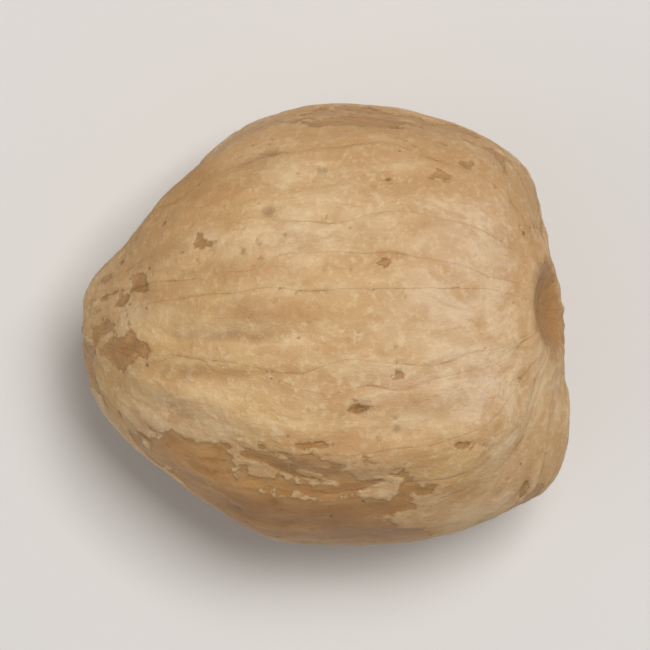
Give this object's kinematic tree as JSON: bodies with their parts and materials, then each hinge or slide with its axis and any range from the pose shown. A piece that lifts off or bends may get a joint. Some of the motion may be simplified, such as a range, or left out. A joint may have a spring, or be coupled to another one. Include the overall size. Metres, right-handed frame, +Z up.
{
  "type": "candlenut",
  "caption": "Whole shelled candlenut kernel, rounded and ribbed, with a narrow tip and a blunt end with a round sunken scar, resting on a small flat spot.",
  "frame": {"origin": "middle of the bounding box's underside, on the surface that the kernel rests on", "axes": "+X along the kernel from the narrow tip to the blunt end with the scar, +Y across it, +Z up through its thickness"},
  "size_m": [0.026, 0.0238, 0.019],
  "materials": {
    "kernel_surface": "dull waxy, with a thin papery coat"
  },
  "bodies": {
    "root": {"candlenut_kernel": "kernel_surface"}
  },
  "joints": []
}
